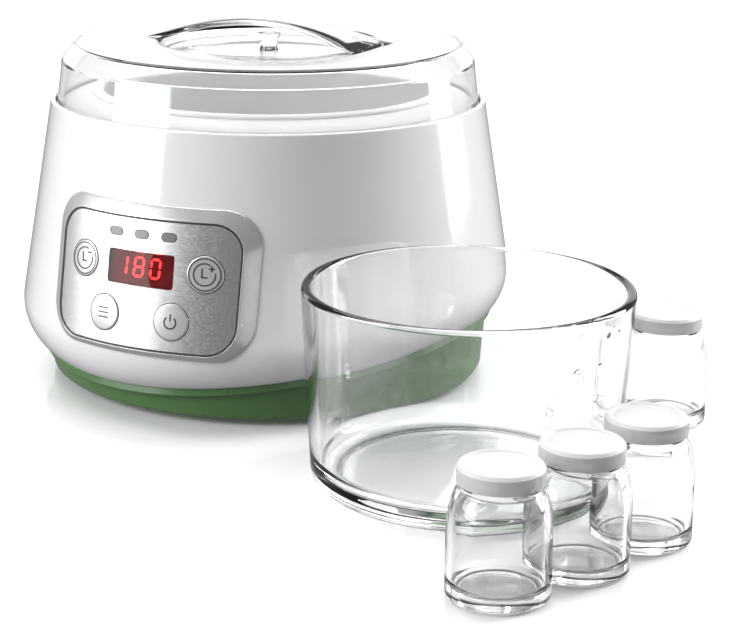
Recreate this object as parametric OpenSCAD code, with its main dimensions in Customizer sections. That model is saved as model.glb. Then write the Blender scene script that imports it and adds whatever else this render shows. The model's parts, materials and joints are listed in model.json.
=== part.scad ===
// Electric yogurt maker with a clear lid, a glass bowl and four capped glass jars.
// Millimetres. The origin is on the table under the machine's axis, and the panel faces -Y.
// An azimuth is an angle about +Z that starts at -Y and grows towards +X.
// The heights of the machine's upper parts count from a level that lies lift above the table.

/* [Shell] */
// How far the machine's upper parts are raised over the table by the depth of the base
lift = 5; // [4.5:0.5:5.5]
// Outer radius of the shell at its rim
rim_r = 99; // [97:0.5:101]
// Height of the shell's rim
rim_z = 121.8; // [120:0.1:123]
// Growth of the radius for each millimetre below the rim
flare = 0.165; // [0.15:0.005:0.18]
// Radius of the rounded corner at the bottom of the shell
corner_r = 20; // [18:0.5:21]
// Wall thickness of the shell
shell_t = 2.5; // [2:0.1:3]
// Outer radius of the shell's lower lip
lip_r = 105.6; // [105:0.1:106.5]
// Lowest height of the seam between shell and base
seam_low = 9.4; // [9:0.1:11]
// Highest height of the seam
seam_high = 27; // [24:0.5:28]
// Azimuth of the seam's lowest point
seam_turn = -18; // [-40:1:40]
// Azimuth from the lowest point over which the seam climbs
seam_span = 115; // [100:1:150]

/* [Base] */
// Height of the rubber feet
foot_h = 3; // [2.5:0.1:3.5]
// Distance of the feet from the axis
foot_ring_r = 80; // [76:1:84]
// Thickness of the bottom plate
plate_t = 2.2; // [2:0.1:2.6]
// Distance of the long cover screws from the axis
post_ring_r = 60; // [59:0.5:61]

/* [Cavity] */
// Inner radius of the cavity
cavity_r = 75; // [74:0.5:75.5]
// Height of the cavity's floor
cavity_z = 30; // [29.5:0.5:31]
// Height of the liner's lip seat
seat_z = 124.4; // [124:0.1:125]
// Radius of the warming plate
warm_r = 45.7; // [44:0.1:45.8]

/* [Panel] */
// Half width of the panel frame
frame_hw = 50; // [49:0.5:51]
// Lowest and highest point of the panel frame
frame_z = [27.6, 91]; // [0:0.1:100]
// Half width of the face plate
face_hw = 43.9; // [43:0.1:44.5]
// Lowest and highest point of the face plate
face_z = [31, 85]; // [0:0.1:100]
// Height of the display and of the two time buttons
display_z = 64; // [63:0.5:65]
// Radius of a button
button_r = 7.8; // [7:0.1:8]
// Azimuth of the two time buttons
time_az = 15.9; // [15.5:0.1:16.2]
// Azimuth of the two lower buttons
lower_az = 8.5; // [8:0.1:9]
// Height of the two lower buttons
lower_z = 43.3; // [43:0.1:45]

/* [Lid] */
// Radius of the lid's flat top
lid_top_r = 87.4; // [86:0.1:88]
// Height of the lid's flat top
lid_top_z = 146.6; // [146:0.1:148]
// Wall thickness of the lid
lid_t = 2; // [1.8:0.1:2.2]
// Radius of the round recess in the lid
recess_r = 50; // [48:0.5:51]
// Depth of the recess
recess_d = 4.6; // [4:0.1:5]
// Rise of the handle bar over the lid's top
bar_rise = 10.2; // [9:0.1:11]
// Half length of the handle bar
bar_hl = 54; // [53:0.5:56]
// Half width of the handle bar at its middle
bar_hw = 9.8; // [9:0.1:11]

/* [Bowl and jars] */
// Outer radius of the bowl's rim
bowl_r = 65; // [62:0.5:66]
// Height of the bowl
bowl_h = 81; // [76:1:88]
// Place of the bowl's axis on the table
bowl_at = [148.5, -107]; // [-200:0.5:200]
// Outer radius of a jar
jar_r = 18.5; // [18.2:0.1:18.7]
// Height of a jar without its cap
jar_h = 46.4; // [46.2:0.1:46.8]
// Place of the first jar's axis on the table
jar_1_at = [204, -203]; // [-260:0.5:260]
// Place of the second jar's axis
jar_2_at = [220, -168]; // [-260:0.5:260]
// Place of the third jar's axis
jar_3_at = [230.5, -130]; // [-260:0.5:260]
// Place of the fourth jar's axis
jar_4_at = [192.5, 6]; // [-260:0.5:260]

/* [Hidden] */

$fn = 96;
slope = atan(flare);             // angle of the shell's wall from the vertical
ring_step = 6;                   // azimuth step of the seam-following rings
lip_in = lip_r - 1.7;            // inner radius of the shell's lower lip
rim_in = rim_r - 2.4;            // inner radius of the shell's rim
plate_top = foot_h + plate_t;    // top of the bottom plate
groove_z = 120;                  // floor of the groove that the lid stands in
floor_t = 2;                     // thickness of the liner's floor
floor_under = cavity_z - floor_t;
post_top = 20;                   // where the bottom plate's posts meet the liner's
panel_y = -cone_r(display_z);    // the shell's surface at the display's centre
board_depth = 16;                // the control board's front face, below that surface
face_out = 2.6;                  // the face plate's front, above the shell
face_in = 1.2;                   // the face plate's back
stem_end = -10.2;                // where a button's stem ends, above the shell at the display
board_z = 10;                    // underside of the power board
board_t = 1.6;                   // thickness of both circuit boards
board_top = board_z + board_t;
inlet_z = 14.4;                  // height of the mains inlet's centre
pin_x = 4.3;                     // half the distance of the inlet's pins

white = [0.93, 0.93, 0.94];
green = [0.36, 0.55, 0.33];
silver = [0.74, 0.75, 0.77];
steel = [0.62, 0.63, 0.65];
clear = [0.86, 0.9, 0.92, 0.35];
board_green = [0.1, 0.36, 0.2];
dark = [0.12, 0.12, 0.13];

// ---- shared geometry ----

// Outer radius of the shell's straight wall at height z
function cone_r(z) = rim_r + flare * (rim_z - z);

// Angle between two azimuths, from 0 to 180
function turn_from(a, b) = abs((a - b + 540) % 360 - 180);

// Height of the seam at azimuth a
function seam_z(a) = let (d = min(turn_from(a, seam_turn), seam_span))
    seam_low + (seam_high - seam_low) * (1 - cos(180 * d / seam_span)) / 2;

// Points of an arc about c, in n steps
function arc(c, r, from, to, n = 6) =
    [for (k = [0:n]) let (t = from + (to - from) * k / n) [c[0] + r * cos(t), c[1] + r * sin(t)]];

// Outline of a rounded rectangle about c
function rounded(w, h, r, c = [0, 0]) = concat(
    arc([c[0] + w / 2 - r, c[1] + h / 2 - r], r, 0, 90),
    arc([c[0] - w / 2 + r, c[1] + h / 2 - r], r, 90, 180),
    arc([c[0] - w / 2 + r, c[1] - h / 2 + r], r, 180, 270),
    arc([c[0] + w / 2 - r, c[1] - h / 2 + r], r, 270, 360));

// Centre of the shell's bottom corner at azimuth a, so that the corner meets the wall smoothly
// and ends at the lip
function corner_centre(a) = let (
        s = seam_z(a),
        w = lip_r - cone_r(s) + corner_r / cos(slope),
        q = 1 + flare * flare,
        u = (sqrt(flare * flare * w * w - q * (w * w - corner_r * corner_r)) - flare * w) / q)
    [cone_r(s + u) - corner_r / cos(slope), s + u];

// Section of the outer shell at azimuth a
function shell_section(a) = let (
        c = corner_centre(a),
        inner_r = corner_r - shell_t,
        rim_c = [cone_r(rim_z - 1.2) - 1.2, rim_z - 1.2],
        step_z = rim_z - 4.6)
    concat(
        arc(c, corner_r, -acos((lip_r - c[0]) / corner_r), slope, 7),
        arc(rim_c, 1.2, slope, 180, 4),
        [[rim_in, step_z + 0.8], [cone_r(step_z) - shell_t / cos(slope), step_z]],
        arc(c, inner_r, slope, -acos((lip_in - c[0]) / inner_r), 5),
        [[lip_in, seam_z(a)]]);

// Section of the base skirt at azimuth a: foot flange, wall, ledge under the seam, locating rib
function skirt_section(a) = let (s = seam_z(a))
    [[98.2, foot_h - lift], [99.6, foot_h - lift], [100.8, foot_h - lift + 1.2],
     [102.4, s - 3.9], [104.6, s - 3.5],
     [105, s - 2.9], [105, s - 0.3], [103.5, s - 0.3], [103.5, s + 5], [101.5, s + 5],
     [100, plate_top - lift + 2], [92, plate_top - lift + 2], [92, plate_top - lift],
     [98.2, plate_top - lift]];

// Closed ring through the same section taken at every azimuth
module section_ring(sections) {
    n = len(sections);
    m = len(sections[0]);
    polyhedron(
        points = [for (i = [0:n - 1]) let (a = i * 360 / n)
            for (p = sections[i]) [p[0] * sin(a), -p[0] * cos(a), p[1]]],
        faces = [for (i = [0:n - 1]) let (k = (i + 1) % n) for (j = [0:m - 1]) let (l = (j + 1) % m)
            [i * m + j, i * m + l, k * m + l, k * m + j]]);
}

// Tube of radius r along a route that never runs straight up
module tube(route, r, sides = 8) {
    n = len(route);
    polyhedron(
        points = [for (i = [0:n - 1]) let (
                d = route[min(i + 1, n - 1)] - route[max(i - 1, 0)],
                s = cross(d, [0, 0, 1]) / norm(cross(d, [0, 0, 1])),
                u = cross(s, d) / norm(cross(s, d)))
            for (k = [0:sides - 1]) route[i] + r * (cos(360 * k / sides) * s + sin(360 * k / sides) * u)],
        faces = concat(
            [[for (k = [0:sides - 1]) k]],
            [for (i = [0:n - 2]) for (k = [0:sides - 1]) let (l = (k + 1) % sides)
                [i * sides + l, i * sides + k, (i + 1) * sides + k, (i + 1) * sides + l]],
            [[for (k = [sides - 1:-1:0]) (n - 1) * sides + k]]));
}

// Solid whose side lies at a distance over the shell's wall
module cone_solid(out) {
    grow = out / cos(slope);
    rotate_extrude()
        polygon([[0, 15], [cone_r(15) + grow, 15], [cone_r(105) + grow, 105], [0, 105]]);
}

// Layer over the shell's wall from one distance to another
module cone_band(from, to) {
    near = from / cos(slope);
    far = to / cos(slope);
    rotate_extrude()
        polygon([[cone_r(20) + near, 20], [cone_r(20) + far, 20],
            [cone_r(100) + far, 100], [cone_r(100) + near, 100]]);
}

// Prism that an outline in X and Z sweeps towards the front
module front_prism(outline) {
    translate([0, -75, 0])
        rotate([90, 0, 0])
            linear_extrude(50)
                polygon(outline);
}

function frame_outline(inset) = rounded(2 * (frame_hw - inset), frame_z[1] - frame_z[0] - 2 * inset,
    16 - inset, [0, (frame_z[0] + frame_z[1]) / 2]);
function face_outline(grow) = rounded(2 * (face_hw + grow), face_z[1] - face_z[0] + 2 * grow,
    12 + grow, [0, (face_z[0] + face_z[1]) / 2]);
function window_outline(grow) = rounded(2 * (16 + grow), 2 * (7 + grow), 1.2 + grow, [0, display_z]);
function indicator_outline(k, grow) =
    rounded(7 + 2 * grow, 3.6 + 2 * grow, 1.8 + grow, [13 * k, 78.5]);

// Puts children on the shell at an azimuth and a height, +Z along the panel's outward normal
module on_panel(az, z) {
    translate([cone_r(z) * sin(az), -cone_r(z) * cos(az), z])
        rotate([90 - slope, 0, 0])
            children();
}

// Depth of the point at an azimuth and a height below the plane through the display's centre
function panel_drop(az, z) = (cone_r(z) * cos(az) + panel_y) * cos(slope) + (z - display_z) * sin(slope);

BUTTONS = [[-time_az, display_z], [time_az, display_z], [-lower_az, lower_z], [lower_az, lower_z]];
PANEL_POSTS = [for (x = [-38.5, 38.5]) for (y = [-26, 16]) [x, y]];

// Places children at x, y and height h over the plane through the display's centre
module in_panel(x, y, h) {
    on_panel(0, display_z)
        translate([x, y, h])
            children();
}

// Cross-head screw with its tip up and the underside of its head at z = 0
module screw(shaft_r, length, head_r, head_h) {
    difference() {
        union() {
            translate([0, 0, -head_h / 2])
                cylinder(r = shaft_r, h = length + head_h / 2);
            translate([0, 0, -head_h])
                cylinder(r = head_r, h = head_h);
        }
        for (turn = [0, 90])
            rotate(turn)
                translate([-head_r * 0.6, -0.3, -head_h - 0.1])
                    cube([head_r * 1.2, 0.6, head_h * 0.6]);
    }
}

module at_ring(r, count, start = 0) {
    for (k = [0:count - 1])
        rotate(start + k * 360 / count)
            translate([r, 0, 0])
                children();
}

// ---- body ----

module outer_shell() {
    color(white)
        difference() {
            section_ring([for (i = [0:359 / ring_step]) shell_section(i * ring_step)]);
            front_prism(frame_outline(3.5));
        }
}

module top_ring() {
    color(white)
        rotate_extrude()
            polygon([[96.3, 117.4], [96.3, groove_z], [93.2, groove_z], [92.2, groove_z + 1.2],
                [81.6, seat_z - 0.2], [81.2, seat_z], [77.4, seat_z], [77.4, 116], [79.6, 116],
                [79.6, seat_z - 2.2], [91, groove_z - 1.4], [94.2, groove_z - 2.2], [94.2, 117.4]]);
}

module cavity_liner() {
    wall_r = cavity_r + 2;
    color(white)
        difference() {
            union() {
                rotate_extrude()
                    polygon(concat(
                        [[warm_r + 0.3, floor_under]],
                        arc([wall_r - 8, floor_under + 8], 8, -90, 0),
                        [[wall_r, seat_z], [81, seat_z]],
                        arc([80.1, seat_z + 0.9], 0.9, -60, 90, 3),
                        arc([cavity_r + 1.4, seat_z + 0.4], 1.4, 90, 180, 3),
                        arc([cavity_r - 6, cavity_z + 6], 6, 0, -90),
                        [[warm_r + 0.3, cavity_z]]));
                at_ring(post_ring_r, 4, 45)
                    translate([0, 0, post_top])
                        cylinder(r = 4, h = floor_under - post_top + 1);
                at_ring(55, 3, -90)
                    translate([0, 0, 25.3])
                        cylinder(r = 3.2, h = floor_under - 25.3 + 1);
            }
            at_ring(post_ring_r, 4, 45)
                translate([0, 0, post_top - 1])
                    cylinder(r = 1.4, h = 8.4, $fn = 32);
            at_ring(55, 3, -90)
                translate([0, 0, 25])
                    cylinder(r = 1.15, h = 3, $fn = 32);
        }
}

module bottom_plate() {
    upstand_r = 91.6;
    color(green)
        difference() {
            union() {
                translate([0, 0, foot_h])
                    cylinder(r = 97.8, h = plate_t);
                difference() {
                    translate([0, 0, foot_h])
                        cylinder(r = upstand_r, h = 6);
                    translate([0, 0, foot_h - 1])
                        cylinder(r = upstand_r - 2, h = 8);
                }
                at_ring(post_ring_r, 4, 45)
                    translate([0, 0, foot_h])
                        cylinder(r = 5.4, h = post_top + lift - foot_h);
                for (x = [-33, 33], y = [52, 80])
                    translate([x, y, foot_h])
                        cylinder(r = 3, h = board_z + lift - foot_h);
                for (turn = [0:30:150])
                    rotate(turn)
                        translate([-45, -0.8, foot_h])
                            cube([90, 1.6, plate_t + 2]);
            }
            at_ring(post_ring_r, 4, 45) {
                translate([0, 0, foot_h - 1])
                    cylinder(r = 3.6, h = 9 + lift);
                cylinder(r = 2, h = 40);
            }
            for (x = [-33, 33], y = [52, 80])
                translate([x, y, foot_h + 1.2])
                    cylinder(r = 1.2, h = 20, $fn = 32);
            at_ring(foot_ring_r, 4, 15)
                cylinder(r = 3.2, h = 10);
            at_ring(30, 12, 15)
                translate([-7, -1.2, 0])
                    cube([14, 2.4, 12]);
        }
}

module base_skirt() {
    color(green)
        difference() {
            section_ring([for (i = [0:359 / ring_step]) skirt_section(i * ring_step)]);
            translate([-12.2, 90, inlet_z - 7.1])
                cube([24.4, 20, 14.2]);
        }
}

module feet() {
    color(dark)
        at_ring(foot_ring_r, 4, 15) {
            cylinder(r1 = 6.6, r2 = 7.4, h = foot_h);
            translate([0, 0, foot_h - 0.01])
                cylinder(r = 3, h = plate_t + 0.8);
        }
}

module cover_screws() {
    color(steel)
        at_ring(post_ring_r, 4, 45)
            translate([0, 0, 11])
                screw(1.35, 16, 3.2, 2);
}

// ---- heater ----

module heater_plate() {
    color(silver)
        union() {
            translate([0, 0, floor_under - 1.5])
                cylinder(r = 50, h = 1.5);
            translate([0, 0, floor_under - 0.1])
                cylinder(r = warm_r, h = floor_t);
        }
}

module heater_ring() {
    color([0.55, 0.5, 0.42])
        difference() {
            union() {
                translate([0, 0, 25.3])
                    cylinder(r = 44, h = 1.2);
                for (x = [-8, 8])
                    translate([x - 3, 40, 25.3])
                        cube([6, 12, 0.8]);
            }
            translate([0, 0, 20])
                cylinder(r = 20, h = 10);
        }
}

module heater_clamp() {
    strap = [[-26, 24.5], [-26, 23.5], [-18, 23.5], [-13, 14], [13, 14], [18, 23.5], [26, 23.5],
        [26, 24.5], [17.4, 24.5], [12.4, 15], [-12.4, 15], [-17.4, 24.5]];
    color(steel)
        difference() {
            union() {
                difference() {
                    translate([0, 0, 24.5])
                        cylinder(r = 40, h = 0.8);
                    cylinder(r = 22, h = 40);
                }
                at_ring(0, 3, -90)
                    translate([36, -5, 24.5])
                        cube([24, 10, 0.8]);
                rotate([90, 0, 0])
                    translate([0, 0, -5])
                        linear_extrude(10)
                            polygon(strap);
            }
            at_ring(55, 3, -90)
                cylinder(r = 1.4, h = 40, $fn = 32);
            cylinder(r = 2.2, h = 20);
        }
}

module clamp_screws() {
    color(steel)
        at_ring(55, 3, -90)
            translate([0, 0, 24.5])
                screw(1.1, 3.1, 2.6, 1.6);
}

module ntc_sensor() {
    color([0.8, 0.8, 0.78])
        rotate_extrude()
            polygon([[0, 16], [2, 16], [2, 20], [5.5, 20], [5.5, 25.4], [4.5, 26.4], [0, 26.4]]);
}

module sensor_spring() {
    turns = 3;
    steps = 14;
    color(steel)
        tube([for (k = [0:turns * steps])
            [3.6 * cos(360 * k / steps), 3.6 * sin(360 * k / steps), 15.5 + 4 * k / (turns * steps)]],
            0.4, 6);
}

module thermal_fuse() {
    color([0.82, 0.8, 0.74])
        union() {
            translate([22, -26, 22.4])
                rotate([0, 90, 0])
                    cylinder(r = 2, h = 14, center = true);
            translate([17, -28.5, 22.4])
                cube([10, 5, 2.1]);
        }
}

// ---- control panel ----

module panel_bezel() {
    color(silver)
        difference() {
            union() {
                intersection() {
                    cone_band(0.05, 3.2);
                    front_prism(frame_outline(0));
                }
                intersection() {
                    cone_band(-3, 0.1);
                    front_prism(frame_outline(3.9));
                }
                for (p = PANEL_POSTS)
                    in_panel(p[0], p[1], -board_depth)
                        cylinder(r = 3, h = 8.4);
            }
            intersection() {
                cone_band(face_in, 8);
                front_prism(face_outline(0.4));
            }
            front_prism(face_outline(-2.4));
            for (p = PANEL_POSTS)
                in_panel(p[0], p[1], -board_depth - 1)
                    cylinder(r = 1.25, h = 7, $fn = 32);
        }
}

module panel_plate() {
    color(silver)
        difference() {
            intersection() {
                cone_band(face_in, face_out);
                front_prism(face_outline(0));
            }
            front_prism(window_outline(0.2));
            for (k = [-1:1])
                front_prism(indicator_outline(k, 0.15));
            for (b = BUTTONS)
                on_panel(b[0], b[1])
                    cylinder(r = button_r + 0.3, h = 30, center = true);
        }
}

module display_window() {
    color([0.3, 0.04, 0.05])
        intersection() {
            cone_band(0.9, face_out + 0.1);
            front_prism(window_outline(0));
        }
}

module display_module() {
    color(dark)
        in_panel(-17, -7.5, -board_depth)
            cube([34, 15, board_depth - 1.8]);
}

// Segments a to g of a seven-segment digit, as [x, y, upright], and the segments of each digit shown
SEGMENTS = [[0, 4, 0], [2, 2, 1], [2, -2, 1], [0, -4, 0], [-2, -2, 1], [-2, 2, 1], [0, 0, 0]];
SHOWN = [[1, 2], [0, 1, 2, 3, 4, 5, 6], [0, 1, 2, 3, 4, 5]];

module display_digits() {
    color([1, 0.12, 0.1])
        for (digit = [0:len(SHOWN) - 1])
            for (s = SHOWN[digit])
                in_panel(-10.5 + 8 * digit + SEGMENTS[s][0], SEGMENTS[s][1], -1.8)
                    rotate(90 * SEGMENTS[s][2])
                        translate([-1.5, -0.4, 0])
                            cube([3, 0.8, 0.3]);
}

module indicator_lenses() {
    color([0.45, 0.45, 0.47])
        intersection() {
            cone_band(0.9, face_out + 0.1);
            union()
                for (k = [-1:1])
                    front_prism(indicator_outline(k, 0));
        }
}

// Button: cap cut to the panel's curve, retaining flange behind the plate, and a stem
module button(index) {
    az = BUTTONS[index][0];
    z = BUTTONS[index][1];
    flange_h = -3.4;
    stem = panel_drop(az, z) + flange_h - stem_end;
    color(silver)
        union() {
            intersection() {
                cone_solid(face_out + 0.9);
                on_panel(az, z)
                    translate([0, 0, flange_h])
                        cylinder(r = button_r, h = 14);
            }
            on_panel(az, z)
                translate([0, 0, flange_h])
                    cylinder(r = 9, h = 1.2);
            on_panel(az, z)
                translate([0, 0, flange_h - stem])
                    cylinder(r = 2.2, h = stem + 0.5);
        }
}

module tact_switches() {
    color(dark)
        for (b = BUTTONS)
            in_panel(cone_r(b[1]) * sin(b[0]), (b[1] - display_z) / cos(slope), -board_depth) {
                translate([-3, -3, 0])
                    cube([6, 6, 3.6]);
                cylinder(r = 1.7, h = 5);
            }
}

module control_board() {
    color(board_green)
        in_panel(0, -5, -board_depth - board_t)
            difference() {
                translate([-42, -25.5, 0])
                    cube([84, 51, board_t]);
                for (p = PANEL_POSTS)
                    translate([p[0], p[1] + 5, -1])
                        cylinder(r = 1.4, h = 4, $fn = 32);
            }
}

module buzzer() {
    color(dark)
        in_panel(20, -2, -board_depth - board_t - 5.5)
            difference() {
                cylinder(r = 6, h = 5.5);
                translate([0, 0, -1])
                    cylinder(r = 1.2, h = 3);
            }
}

module panel_screws() {
    color(steel)
        for (p = PANEL_POSTS)
            in_panel(p[0], p[1], -board_depth - board_t)
                screw(1.2, 7, 2.4, 1.5);
}

// ---- power supply ----

module power_board() {
    color(board_green)
        difference() {
            translate([-37, 48, board_z])
                cube([74, 36, board_t]);
            for (x = [-33, 33], y = [52, 80])
                translate([x, y, 0])
                    cylinder(r = 1.4, h = 20, $fn = 32);
        }
}

module transformer() {
    color([0.75, 0.65, 0.3])
        translate([-20, 61, board_top])
            union() {
                translate([-11, -8, 0])
                    cube([22, 16, 3.5]);
                translate([-11, -8, 10])
                    cube([22, 16, 3.5]);
                translate([-11, -4, 3])
                    cube([22, 8, 8]);
                translate([-7, -7, 3])
                    cube([14, 14, 8]);
            }
}

module relay() {
    color([0.15, 0.3, 0.55])
        translate([-1, 53, board_top])
            cube([19, 15, 14.5]);
}

module capacitors() {
    color([0.2, 0.25, 0.4]) {
        for (y = [57, 69])
            translate([26, y, board_top])
                cylinder(r = 4.6, h = 12.5);
        translate([-27, 74, board_top])
            cube([14, 6, 11]);
    }
}

module terminal_block() {
    color([0.2, 0.5, 0.3])
        difference() {
            translate([-6, 72, board_top])
                cube([22, 9, 9.5]);
            for (x = [-3.2, 2.3, 7.7, 13.2])
                translate([x, 85, board_top + 3.5])
                    rotate([90, 0, 0])
                        cylinder(r = 1.5, h = 10, $fn = 24);
        }
}

module board_screws() {
    color(steel)
        for (x = [-33, 33], y = [52, 80])
            translate([x, y, board_top])
                rotate([180, 0, 0])
                    screw(1.15, 6, 2.3, 1.4);
}

// Routes of the two heater leads, from the terminal block to the heater's lugs
HEATER_LEADS = [
    [[7.7, 80.4, 15.1], [8.5, 83.2, 15.4], [16, 86.6, 16], [24, 87, 17], [33, 81, 19],
     [36, 72, 20], [36, 50, 20], [26, 45, 20.5], [-6, 45, 22.6], [-8, 48.5, 24.4]],
    [[13.2, 80.4, 15.1], [14.5, 82.8, 15.8], [20, 83.6, 18], [28, 79, 21], [33.4, 71, 22],
     [33.4, 52, 22], [28, 47.8, 23], [11, 47.2, 23.6], [8, 49.5, 24.4]]];

module wiring() {
    color([0.7, 0.12, 0.1]) {
        for (side = [-1, 1])
            let (block_x = 2.75 * side - 0.45)
                tube([[pin_x * side, 88, inlet_z], [pin_x * side, 87, inlet_z],
                    [block_x, 83, 15], [block_x, 80.4, 15.1]], 0.9);
        for (route = HEATER_LEADS)
            tube(route, 0.9);
    }
}

// Where the control board's back face is, along Y, at height z
function board_back(z) = let (
        depth = board_depth + board_t,
        up = (z - display_z + depth * sin(slope)) / cos(slope))
    panel_y + up * sin(slope) + depth * cos(slope);

module ribbon_cable() {
    side_view = [[board_back(46.6), 46.6], [-89.5, 44], [-85, 9.4], [46, 9.4], [49, 10], [51, 10],
        [46.5, 8.4], [-85.9, 8.4], [-90.4, 43.4], [board_back(45.4), 45.4]];
    color([0.75, 0.75, 0.75])
        translate([-22, 0, 0])
            rotate([90, 0, 90])
                linear_extrude(12)
                    polygon(side_view);
}

module mains_inlet() {
    color(dark)
        difference() {
            translate([-12, 88, inlet_z - 7])
                cube([24, 15, 14]);
            translate([0, 92, inlet_z])
                rotate([-90, 0, 0])
                    linear_extrude(20)
                        polygon(rounded(16, 7.8, 3.8));
        }
}

module inlet_pins() {
    color(steel)
        for (x = [-pin_x, pin_x])
            translate([x, 92, inlet_z])
                rotate([-90, 0, 0])
                    cylinder(r = 1.2, h = 8.5);
}

// ---- lid ----

module lid() {
    floor_z = lid_top_z - recess_d;
    under_z = lid_top_z - lid_t;
    color(clear)
        rotate_extrude()
            polygon([[96.1, groove_z + 0.05], [95.9, groove_z + 2], [93.9, 138.2], [93.4, 139.4],
                [lid_top_r + 0.8, lid_top_z - 0.5], [lid_top_r, lid_top_z], [recess_r, lid_top_z],
                [recess_r - 0.8, lid_top_z - 0.6], [recess_r - 2.4, floor_z + 0.6],
                [recess_r - 3.2, floor_z], [2.5, floor_z], [2.5, floor_z - lid_t],
                [recess_r - 2.4, floor_z - lid_t], [recess_r - 0.6, floor_z - lid_t + 0.8],
                [recess_r + 1, under_z], [lid_top_r - 0.6, under_z], [92, 138.2],
                [93.9, groove_z + 2], [94, groove_z + 0.05]]);
}

// Height of the bar's top over the lid's top, and half its width, at a distance x from the middle
function bar_z(x) = bar_rise * (1 - pow(x / bar_hl, 2));
function bar_w(x) = bar_hw + 11 * pow(x / bar_hl, 2);

module lid_handle() {
    bar_t = 3.2;
    xs = [for (k = [-12:12]) bar_hl * k / 12];
    side = concat(
        [for (x = xs) [x, bar_z(x)]],
        [for (k = [10:-1:-10]) let (x = bar_hl * k / 12) [x, max(bar_z(x) - bar_t, 0)]]);
    outline = concat(
        [for (x = xs) [x, bar_w(x)]],
        [for (k = [12:-1:-12]) let (x = bar_hl * k / 12) [x, -bar_w(x)]]);
    color(clear)
        translate([0, 0, lid_top_z])
            intersection() {
                translate([0, 30, 0])
                    rotate([90, 0, 0])
                        linear_extrude(60)
                            polygon(side);
                translate([0, 0, -1])
                    linear_extrude(20)
                        polygon(outline);
            }
}

module lid_knob() {
    floor_z = lid_top_z - recess_d;
    color(clear)
        translate([0, 0, floor_z])
            rotate_extrude()
                polygon(concat([[0, -lid_t], [2.4, -lid_t], [2.4, 0], [4.6, 0]],
                    arc([4, 6.6], 1.3, 0, 90, 4), [[0, 8.4]]));
}

// ---- bowl and jars ----

module bowl() {
    foot_r = bowl_r - 4;
    color(clear)
        translate([bowl_at[0], bowl_at[1], 0])
            rotate_extrude()
                polygon(concat(
                    [[0, 1], [foot_r - 14, 1], [foot_r - 13, 0]],
                    arc([foot_r - 8.6, 8.6], 8.6, -90, 0),
                    arc([bowl_r - 2, bowl_h - 2], 2, 0, 180),
                    arc([foot_r - 12, 15], 8, 0, -90),
                    [[0, 7]]));
}

JARS = [jar_1_at, jar_2_at, jar_3_at, jar_4_at];

module jar(k) {
    shoulder = [5.1, 17.6];
    shoulder_z = 23.2;
    wall_t = 2.2;
    neck_r = jar_r - shoulder[0];
    mouth_r = neck_r - 1.3;
    color(clear)
        translate([JARS[k][0], JARS[k][1], 0])
            rotate_extrude($fn = 64)
                polygon(concat(
                    [[0, 0.7], [jar_r - 5, 0.7], [jar_r - 4.2, 0]],
                    arc([jar_r - 2.2, 2.2], 2.2, -90, 0, 4),
                    [for (t = [0:12:84])
                        [neck_r + shoulder[0] * cos(t), shoulder_z + shoulder[1] * sin(t)]],
                    [[neck_r, jar_h - 4.8]],
                    arc([neck_r + 0.1, jar_h - 2.8], 1, -60, 60, 4),
                    [[neck_r, jar_h], [mouth_r, jar_h], [mouth_r, jar_h - 7]],
                    [for (t = [72:-12:0])
                        [neck_r - wall_t + shoulder[0] * cos(t), shoulder_z - 1 + (shoulder[1] - 1) * sin(t)]],
                    arc([jar_r - wall_t - 3.4, 7.6], 3.4, 0, -90, 4),
                    [[0, 4.2]]));
}

// Push-on cap: flanged top, outer skirt round the jar's mouth and a plug inside it
module jar_cap(k) {
    cap_r = jar_r - 3.1;
    plug_r = jar_r - 6.5;
    skirt_r = cap_r - 0.8;
    skirt_h = 4.9;
    color([0.92, 0.93, 0.93, 0.8])
        translate([JARS[k][0], JARS[k][1], jar_h + 0.1])
            rotate_extrude($fn = 64)
                polygon([[0, -0.4], [plug_r - 1.2, -0.4], [plug_r - 1.2, -3], [plug_r, -3],
                    [plug_r, 0], [skirt_r, 0], [skirt_r, -skirt_h], [cap_r, -skirt_h], [cap_r, 1.1],
                    [cap_r - 0.7, 1.8], [cap_r - 2.4, 1.8], [cap_r - 3, 1.2], [0, 1.2]]);
}

module raised() {
    translate([0, 0, lift])
        children();
}

raised() outer_shell();
raised() top_ring();
raised() cavity_liner();
raised() heater_plate();
raised() heater_ring();
raised() heater_clamp();
raised() clamp_screws();
raised() ntc_sensor();
raised() sensor_spring();
raised() thermal_fuse();
raised() panel_bezel();
raised() panel_plate();
raised() display_window();
raised() display_module();
raised() display_digits();
raised() indicator_lenses();
raised() button(0);  // button_minus
raised() button(1);  // button_plus
raised() button(2);  // button_function
raised() button(3);  // button_power
raised() tact_switches();
raised() control_board();
raised() buzzer();
raised() panel_screws();
raised() base_skirt();
bottom_plate();
feet();
raised() cover_screws();
raised() power_board();
raised() transformer();
raised() relay();
raised() capacitors();
raised() terminal_block();
raised() board_screws();
raised() wiring();
raised() ribbon_cable();
raised() mains_inlet();
raised() inlet_pins();
raised() lid();
raised() lid_handle();
raised() lid_knob();
bowl();
jar(0);  // jar_1
jar(1);  // jar_2
jar(2);  // jar_3
jar(3);  // jar_4
jar_cap(0);  // jar_cap_1
jar_cap(1);  // jar_cap_2
jar_cap(2);  // jar_cap_3
jar_cap(3);  // jar_cap_4
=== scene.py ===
import json
import math

import bmesh
import bpy
from mathutils import Matrix, Vector


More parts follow.
